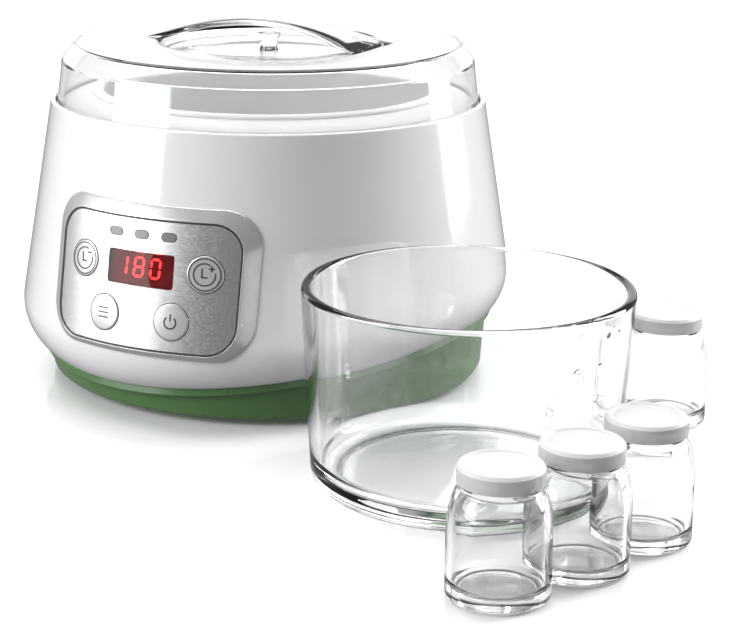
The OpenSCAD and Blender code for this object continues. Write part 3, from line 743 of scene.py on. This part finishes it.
def build_plate():
    """Face plate: a fine grid on the curve, trimmed to its outline and pierced."""
    cols, rows = 88, 54
    spare = 1                               # trimmed off all round
    xs = [lerp(-FACE_HW - spare, FACE_HW + spare, k / cols) for k in range(cols + 1)]
    zs = [lerp(FACE_Z[0] - spare, FACE_Z[1] + spare, k / rows) for k in range(rows + 1)]
    points = [on_cone(x, z, out) for out in (FACE_OUT, FACE_IN) for z in zs for x in xs]
    width = cols + 1
    layer = width * (rows + 1)
    faces = []
    for side in (0, layer):
        for j in range(rows):
            for i in range(cols):
                a = side + j * width + i
                faces.append((a, a + 1, a + width + 1, a + width))
    rim = (list(range(width))
           + [j * width + cols for j in range(1, rows + 1)]
           + [rows * width + i for i in range(cols - 1, -1, -1)]
           + [j * width for j in range(rows - 1, 0, -1)])
    for k, a in enumerate(rim):
        b = rim[(k + 1) % len(rim)]
        faces.append((a, b, b + layer, a + layer))
    plate = make_object("face_plate", points, faces)

    outline = rounded_outline(FACE_HW, *FACE_Z, FACE_CORNER, 36, 16, 14)
    keep = prism_tool(outline, front, WALL_NEAR, WALL_FAR)
    step = plate.modifiers.new("trim", "BOOLEAN")
    step.operation = "INTERSECT"
    step.solver = "EXACT"
    step.object = keep
    gap = 0.2                               # around the display lens
    hole_hh = WINDOW_HH + gap
    holes = [rounded_outline(WINDOW_HW + gap, DISPLAY_Z - hole_hh, DISPLAY_Z + hole_hh,
                             WINDOW_CORNER + gap, 4, 4, 6)]
    holes += [pill_outline(x, INDICATOR_Z, INDICATOR_L + 0.3, INDICATOR_H + 0.3) for x in INDICATOR_X]
    tools = [prism_tool(hole, front, WALL_NEAR, WALL_FAR) for hole in holes]
    inside, outside = -20, 12
    for name in BUTTONS:
        x, up = button_spot(name)
        tools.append(prism_tool(circle(x, up, BUTTON_R + 0.3), in_panel, inside, outside))
    cut(plate, tools)
    bpy.data.objects.remove(keep)
    smooth_cone_normals(plate)
    dress(plate, "brushed_face", "machine", "panel_plate")


def smooth_cone_normals(obj):
    """Gives the broad curved faces the true cone's normals, so that reflections run clean."""
    obj.modifiers.clear()
    mesh = obj.data
    nearly_parallel = 0.97
    normals = []
    for polygon in mesh.polygons:
        for loop in polygon.loop_indices:
            at = mesh.vertices[mesh.loops[loop].vertex_index].co
            ideal = Vector((at.x, at.y, 0)).normalized() * COS_SLOPE + Vector((0, 0, SIN_SLOPE))
            if polygon.normal.dot(ideal) > nearly_parallel:
                normals.append(ideal)
            elif polygon.normal.dot(ideal) < -nearly_parallel:
                normals.append(-ideal)
            else:
                normals.append(polygon.normal)
    mesh.normals_split_custom_set(normals)


# Seven-segment digits: the segments a to g as (x, y, upright), and those lit in each place
SEGMENTS = [(0, 4, False), (2.1, 2, True), (2.1, -2, True), (0, -4, False), (-2.1, -2, True),
            (-2.1, 2, True), (0, 0, False)]
LIT = [(1, 2), (0, 1, 2, 3, 4, 5, 6), (0, 1, 2, 3, 4, 5)]


def build_display():
    outline = rounded_outline(WINDOW_HW, DISPLAY_Z - WINDOW_HH, DISPLAY_Z + WINDOW_HH,
                              WINDOW_CORNER, 16, 8, 6)
    layers = [(0, 0.9), (0, FACE_OUT - 0.2), (0.25, FACE_OUT + 0.08)]
    window = layered_pad("display_lens", outline, (0, DISPLAY_Z), layers, on_cone)
    dress(window, "display_lens", "machine", "display_window")

    face = -1.8                             # front of the display module, in the panel's flat frame
    outline = rounded_outline(WINDOW_HW + 0.4, -WINDOW_HH - 0.2, WINDOW_HH + 0.2, 0.6, 4, 4, 3)
    glow = prism_tool(outline, in_panel, face + 0.02, face + 0.1)
    glow.name = "display_glow"
    glow.data.name = "display_glow"
    dress(glow, "display_lens", "machine", paint=EXTRA["display_glow"])

    bars = []
    half_l, half_w = 1.75, 0.5              # of one segment
    first_x, pitch, slant = -10.5, 8, 0.08  # of the row of digits
    for place, lit in enumerate(LIT):
        for index in lit:
            cx, cy, upright = SEGMENTS[index]
            cx += first_x + pitch * place
            shape = [(-half_l, 0), (-half_l + half_w, half_w), (half_l - half_w, half_w),
                     (half_l, 0), (half_l - half_w, -half_w), (-half_l + half_w, -half_w)]
            if upright:
                shape = [(-y, x) for x, y in shape]
            shape = [(cx + x + slant * (cy + y), cy + y) for x, y in shape]
            bars.append(prism_tool(shape, in_panel, face + 0.12, face + 0.28))
    dress(joined("digits", bars), "led_red", "machine", "display_digits")

    layers = [(0, 0.9), (0, FACE_OUT - 0.1), (0.3, FACE_OUT + 0.12)]
    marks = [layered_pad("indicator", pill_outline(x, INDICATOR_Z, INDICATOR_L, INDICATOR_H),
                         (x, INDICATOR_Z), layers, on_cone)
             for x in INDICATOR_X]
    dress(joined("indicators", marks), "indicator_grey", "machine", "indicator_lenses")


def button_height(distance, domed):
    """Height of a button's face over the shell at a distance from its centre."""
    bevel_w, bevel_h, dome_h = 0.7, 0.35, 0.25
    edge = max(0.0, distance - (BUTTON_R - bevel_w)) / bevel_w
    crown = dome_h * (1 - (distance / BUTTON_R) ** 2) if domed else 0.0
    return CAP_OUT - bevel_h + crown - bevel_h * edge * edge


def build_button(name, domed):
    x, up = button_spot(name)
    steps = 64
    reach = [0.02, 1.5, 3, 4.5, 5.6, 6.3, 6.8, 7.1, 7.3, 7.5, 7.65, 7.75, BUTTON_R]
    rings = []
    for r in reach:
        over = button_height(r, domed)
        rings.append([drop_on_cone(px, py, over) for px, py in circle(x, up, r, steps)])
    depth = drop_on_cone(x, up, 0)
    base = (depth - PANEL_ZERO).dot(PANEL_OUT)
    flange_r, flange_top, flange_back = 9, base - 2.2, base - 3.4
    stem_r, stem_back = 2.2, -10.2
    for r, h in ((BUTTON_R, flange_top), (flange_r, flange_top), (flange_r, flange_back),
                 (stem_r, flange_back), (stem_r, stem_back), (reach[0], stem_back)):
        rings.append([in_panel(px, py, h) for px, py in circle(x, up, r, steps)])
    cap = rings_object(name + "_cap", rings, closed=False, capped=True)
    dress(cap, "button_silver", name, name)
    return x, up


def printed(name, points, width, over, looped=False):
    """Printed line on a button's face at a height over the shell."""
    half_t = 0.1
    return strip(name, points, width, drop_on_cone, over - half_t, over + half_t, looped)


def icon_line(points, width, over):
    return printed("icon", points, width, over)


def clock_icon(name, x, up, plus):
    """Ring with a gap, two clock hands, and a minus or a plus sign beside them."""
    over = button_height(4, False)
    gap_start, gap_end = 62, 12
    parts = [icon_line(arc(x, up, 4.6, gap_start, gap_end + 360, 48), 0.55, over)]
    parts.append(icon_line([(x - 1.1, up + 2.5), (x - 1.1, up - 1.0)], 0.6, over))
    parts.append(icon_line([(x - 1.35, up - 1.2), (x + 1.3, up - 1.2)], 0.6, over))
    sign_x, sign_up = x + 2.9, up + 2.6
    parts.append(icon_line([(sign_x - 1.2, sign_up), (sign_x + 1.2, sign_up)], 0.6, over))
    if plus:
        parts.append(icon_line([(sign_x, sign_up - 1.2), (sign_x, sign_up - 0.3)], 0.6, over))
        parts.append(icon_line([(sign_x, sign_up + 0.3), (sign_x, sign_up + 1.2)], 0.6, over))
    return joined(name, parts)


def build_buttons():
    ring_r = 6.7
    for name, plus in (("button_minus", False), ("button_plus", True)):
        x, up = build_button(name, False)
        ring = printed(name + "_ring", circle(x, up, ring_r, 72), 0.5, button_height(ring_r, False), True)
        dress(ring, "button_silver", name, paint=EXTRA["print_and_gap_shade"])
        dress(clock_icon(name + "_icon", x, up, plus), "button_silver", name,
              paint=EXTRA["print_and_gap_shade"])
    x, up = build_button("button_power", True)
    over = button_height(3, True)
    power = [icon_line(arc(x, up - 0.2, 2.6, 130, 410, 36), 0.6, over),
             icon_line([(x, up + 0.4), (x, up + 3.4)], 0.6, over)]
    dress(joined("button_power_icon", power), "button_silver", "button_power",
          paint=EXTRA["print_and_gap_shade"])
    x, up = build_button("button_function", True)
    bars = [icon_line([(x - 2.6, up + h), (x + 2.6, up + h)], 0.6, over) for h in (-2, 0, 2)]
    dress(joined("button_function_icon", bars), "button_silver", "button_function",
          paint=EXTRA["print_and_gap_shade"])


# ---------------------------------------------------------------------------
# Lid
# ---------------------------------------------------------------------------


def build_lid():
    floor = LID_TOP - RECESS_D
    under = LID_TOP - LID_T
    foot = node_box("lid")[0].z - LIFT
    profile = filleted([
        (96.1, foot, 0.4), (95.9, foot + 2, 0.4), (93.9, 138.2, 1.0), (93.2, 139.6, 1.2),
        (LID_TOP_R + 0.9, LID_TOP - 0.6, 1.2), (LID_TOP_R - 0.4, LID_TOP, 0.6),
        (RECESS_R, LID_TOP, 0.6), (RECESS_R - 2.6, floor + 0.4, 0.8), (RECESS_R - 3.6, floor, 0.8),
        (2.5, floor), (2.5, floor - LID_T), (RECESS_R - 2.2, floor - LID_T, 1.4),
        (RECESS_R + 0.9, under, 1.0), (LID_TOP_R - 0.8, under, 1.0), (91.8, 138.4, 1.2),
        (93.9, foot + 2, 0.4), (94, foot, 0.4)], 5)
    dress(lathe("lid_shell", profile, steps=192), "clear_plastic", "lid", "lid")

    knob = lathe("vent_knob", filleted([
        (0, floor - LID_T), (2.4, floor - LID_T, 0.2), (2.4, floor), (4.4, floor, 0.1),
        (3.7, floor + 2.2, 1.2), (4.4, floor + 4.6, 1.0), (5.3, floor + 6.2, 0.8),
        (5.2, floor + 7.9, 0.8), (3.4, floor + 8.4, 0.8), (0, floor + 8.3)], 5), steps=64)
    dress(knob, "clear_plastic", "lid", "lid_knob")

    rings = []
    stations, spokes = 96, 40
    flare = 11                              # how much wider the bar is at its ends than in the middle
    flat_y, flat_z = 0.45, 0.75             # exponents that square up the bar's oval section
    for k in range(stations + 1):
        x = BAR_HL * (2 * k / stations - 1) * 0.999
        share = (x / BAR_HL) ** 2
        top = BAR_RISE * (1 - share)
        low = max(top - BAR_T, 0.02)
        half_t = (top - low) / 2
        half_w = BAR_HW + flare * share
        ring = []
        for s in range(spokes):
            t = 2 * math.pi * s / spokes
            c, d = math.cos(t), math.sin(t)
            y = half_w * math.copysign(abs(c) ** flat_y, c)
            z = half_t * math.copysign(abs(d) ** flat_z, d)
            ring.append(Vector((x, y, LID_TOP + low + half_t + z)))
        rings.append(ring)
    bar = rings_object("handle_bar", rings, closed=False, capped=True, sharp=50)
    dress(bar, "clear_plastic", "lid", "lid_handle")


# ---------------------------------------------------------------------------
# Bowl and jars
# ---------------------------------------------------------------------------


def build_bowl():
    low, high = node_box("bowl")
    centre = node_centre("bowl")
    rim_r = (high.x - low.x) / 2
    foot_r = rim_r - 4
    top = high.z
    profile = [(0, 1.0), (foot_r - 14, 1.0)] + arc(foot_r - 11.5, 1.4, 1.4, 200, 270, 4)
    profile += arc(foot_r - 8.6, 8.6, 8.6, -90, 0, 16)
    profile += [(lerp(foot_r, rim_r, k / 4), lerp(8.6, top - 2, k / 4)) for k in (1, 2, 3)]
    profile += arc(rim_r - 2, top - 2, 2, 0, 180, 14)
    profile += arc(foot_r - 12, 15, 8, 0, -90, 14) + [(0, 7.0)]
    dress(lathe("glass_bowl", profile, centre[:2], 192), "bowl_glass", "bowl", "bowl")
    build_drops(centre, rim_r, foot_r, top)


# Each drop on the bowl: azimuth, share of the bowl's height, radius, how far it is drawn out
DROPS = [
    (52, 0.60, 2.1, 1.3), (57.5, 0.58, 1.1, 1.0), (53.5, 0.665, 0.8, 1.0), (63, 0.75, 2.6, 1.5),
    (74, 0.755, 2.1, 1.6), (77.5, 0.895, 1.7, 2.4), (64, 0.93, 1.3, 1.3), (56, 0.92, 1.2, 1.3),
    (50, 0.9, 0.8, 1.0), (80, 0.68, 1.2, 1.7), (70, 0.84, 0.7, 1.1), (84, 0.9, 0.9, 1.5),
    (47, 0.935, 0.6, 1.0), (60, 0.865, 0.5, 1.0), (72, 0.62, 0.9, 1.2), (67, 0.52, 0.7, 1.1)]


def build_drops(centre, rim_r, foot_r, top):
    """Water drops that cling to the bowl's outside."""
    drops = [drop(centre, azimuth, top * share, lerp(foot_r, rim_r, share), r, long)
             for azimuth, share, r, long in DROPS]
    dress(joined("water_drops", drops), "bowl_glass", "bowl", paint=EXTRA["water"])


def drop(centre, azimuth, z, wall_r, r, long):
    """One drop: a low dome, drawn out downwards, whose back lies on the glass."""
    out = around(azimuth, 1, 0)
    side = around(azimuth + 90, 1, 0)
    gap, dome = 0.03, 0.6                   # from the glass, and the dome's height as a share of r
    levels, spokes = 8, 20
    rings = []
    for k in range(levels + 1):
        t = math.pi / 2 * k / levels
        ring = []
        for s in range(spokes):
            u = 2 * math.pi * s / spokes
            across = r * math.cos(t) * math.cos(u)
            down = r * math.cos(t) * math.sin(u)
            down *= long if down < 0 else 1.0
            curve = math.sqrt(max(wall_r ** 2 - across ** 2, 0.0))
            p = out * (curve + gap + dome * r * math.sin(t)) + side * across
            ring.append(p + Vector((centre.x, centre.y, z + down)))
        rings.append(ring)
    return rings_object("drop", rings, closed=False, capped=True, sharp=60)


def build_jar(index):
    low, high = node_box(f"jar_{index}")
    centre = node_centre(f"jar_{index}")
    body_r = (high.x - low.x) / 2
    top = high.z
    across, rise = 5.1, 17.6                # half axes of the shoulder's ellipse
    neck_r = body_r - across
    mouth_r = neck_r - 1.3
    wall, shoulder = 2.2, 23.2
    profile = [(0, 0.7), (body_r - 5, 0.7)] + arc(body_r - 3.9, 0.6, 0.6, 200, 270, 3)
    profile += arc(body_r - 2.2, 2.2, 2.2, -90, 0, 8)
    bend = [math.radians(4 * k) for k in range(22)]
    profile += [(neck_r + across * math.cos(t), shoulder + rise * math.sin(t)) for t in bend]
    profile += [(neck_r, top - 4.8)] + arc(neck_r + 0.1, top - 2.8, 1, -70, 70, 8)
    profile += filleted([
        (neck_r, top - 1), (neck_r, top, 0.5), (mouth_r, top, 0.5), (mouth_r, top - 7)], 4)
    profile += [(neck_r - wall + across * math.cos(t), shoulder - 1 + (rise - 1) * math.sin(t))
                for t in reversed(bend[:19])]
    profile += arc(body_r - wall - 3.4, 7.6, 3.4, 0, -90, 8) + [(0, 4.2)]
    body = f"jar_{index}"
    dress(lathe(f"glass_jar_{index}", profile, centre[:2], 112), "jar_glass", body, body)

    seat = top + 0.1
    cap_r = body_r - 3.1
    plug_r = body_r - 6.5
    skirt_r = cap_r - 0.8
    foot = seat - 4.9
    profile = filleted([
        (0, seat - 0.4), (plug_r - 1.2, seat - 0.4, 0.3), (plug_r - 1.2, seat - 3, 0.3),
        (plug_r, seat - 3, 0.3), (plug_r, seat), (skirt_r, seat), (skirt_r, foot, 0.2),
        (cap_r, foot, 0.3), (cap_r, seat + 0.6, 0.5), (cap_r - 0.9, seat + 1.8, 0.8),
        (cap_r - 2.3, seat + 1.8, 0.4), (cap_r - 3.1, seat + 1.2, 0.5), (0, seat + 1.2)], 5)
    body = f"jar_cap_{index}"
    dress(lathe(f"cap_{index}", profile, centre[:2], 112), "milky_cap", body, body)


# ---------------------------------------------------------------------------
# CAD nodes that stay as they are get their slot's material
# ---------------------------------------------------------------------------


def paint_frame():
    slots = {part["node"]: part["material_slot"] for part in frame["record"]["subparts"]}
    for name, obj in frame["nodes"].items():
        obj.data.materials.clear()
        obj.data.materials.append(PAINTS[slots[name]])


# ---------------------------------------------------------------------------
# Stage
# ---------------------------------------------------------------------------


def build_floor():
    size = 6.0
    mesh = bpy.data.meshes.new("floor")
    corners = [(-size, -size, 0), (size, -size, 0), (size, size, 0), (-size, size, 0)]
    mesh.from_pydata(corners, [], [(0, 1, 2, 3)])
    floor = bpy.data.objects.new("floor", mesh)
    bpy.context.scene.collection.objects.link(floor)
    paint = Paint("floor_paint", Roughness=0.1)
    paint.tint(paint.noise(0.4), (0.93, 0.93, 0.93), (0.95, 0.95, 0.95))
    floor.data.materials.append(paint.material)
    # As in a studio with black flags: the floor is white to the eye and through the glass, but it
    # neither mirrors in the gloss nor fills the walls with light
    floor.visible_glossy = False
    floor.visible_diffuse = False


def area_light(name, place, size, power):
    """Rectangular light aimed at the machine's middle."""
    light = bpy.data.lights.new(name, "AREA")
    light.shape = "RECTANGLE"
    light.size, light.size_y = size
    light.energy = power
    obj = bpy.data.objects.new(name, light)
    bpy.context.scene.collection.objects.link(obj)
    obj.location = place
    aim = Vector((0, 0, 0.08))
    obj.rotation_euler = (aim - place).to_track_quat("-Z", "Y").to_euler()


# The camera stands in front and to the right of the panel
CAMERA_TURN = 27.2
CAMERA_PITCH = 15.0
CAMERA_ROLL = 0.5
CAMERA_SIDE, CAMERA_BACK, CAMERA_UP = 0.0333, 0.9238, 0.2813 + LIFT * MM


def from_camera(side, away, up):
    """A point given by its distance to the right of, towards the front of and over the axis, as
    the camera sees it."""
    return Matrix.Rotation(math.radians(CAMERA_TURN), 4, "Z") @ Vector((side, -away, up))


def build_camera():
    camera = bpy.data.cameras.new("camera")
    camera.sensor_width = 36
    camera.lens = 97.0
    camera.shift_x = 0.05
    camera.shift_y = -0.047
    obj = bpy.data.objects.new("camera", camera)
    bpy.context.scene.collection.objects.link(obj)
    turn = (Matrix.Rotation(math.radians(CAMERA_TURN), 4, "Z")
            @ Matrix.Rotation(math.radians(90 - CAMERA_PITCH), 4, "X")
            @ Matrix.Rotation(math.radians(CAMERA_ROLL), 4, "Z"))
    obj.matrix_world = Matrix.Translation(from_camera(CAMERA_SIDE, CAMERA_BACK, CAMERA_UP)) @ turn
    bpy.context.scene.camera = obj


def build_world():
    """White to the eye and through glass, a softer grey room in reflections and for the light."""
    room_grey, white = (0.25, 0.25, 0.255, 1), (1, 1, 1, 1)
    world = bpy.data.worlds.new("studio")
    world.use_nodes = True
    bpy.context.scene.world = world
    tree = world.node_tree
    background = tree.nodes["Background"]
    path = tree.nodes.new("ShaderNodeLightPath")
    seen = tree.nodes.new("ShaderNodeMath")
    seen.operation = "MAXIMUM"
    tree.links.new(path.outputs["Is Camera Ray"], seen.inputs[0])
    tree.links.new(path.outputs["Is Transmission Ray"], seen.inputs[1])
    mix = tree.nodes.new("ShaderNodeMix")
    mix.data_type = "RGBA"
    mix.inputs["A"].default_value = room_grey
    mix.inputs["B"].default_value = white
    tree.links.new(seen.outputs[0], mix.inputs["Factor"])
    tree.links.new(mix.outputs["Result"], background.inputs["Color"])
    background.inputs["Strength"].default_value = 1.0


def build_lights():
    area_light("key_left", from_camera(-1.0, 0.4, 0.42), (0.75, 0.8), 14)
    area_light("rim_right", from_camera(0.93, -0.25, 0.42), (0.34, 0.8), 13)
    area_light("backdrop", from_camera(0.0, -2.2, 0.52), (3.2, 1.0), 10)
    sun = bpy.data.lights.new("overhead", "SUN")
    sun.energy = 2.9
    sun.angle = math.radians(70)
    obj = bpy.data.objects.new("overhead", sun)
    bpy.context.scene.collection.objects.link(obj)
    obj.rotation_euler = (-from_camera(0.0, -0.4, 1.0)).to_track_quat("-Z", "Y").to_euler()


bpy.context.scene.view_settings.view_transform = "Standard"
build_camera()
paint_frame()
build_body()
build_bezel()
build_plate()
build_display()
build_buttons()
build_lid()
build_bowl()
for jar in (1, 2, 3, 4):
    build_jar(jar)
build_floor()
build_world()
build_lights()
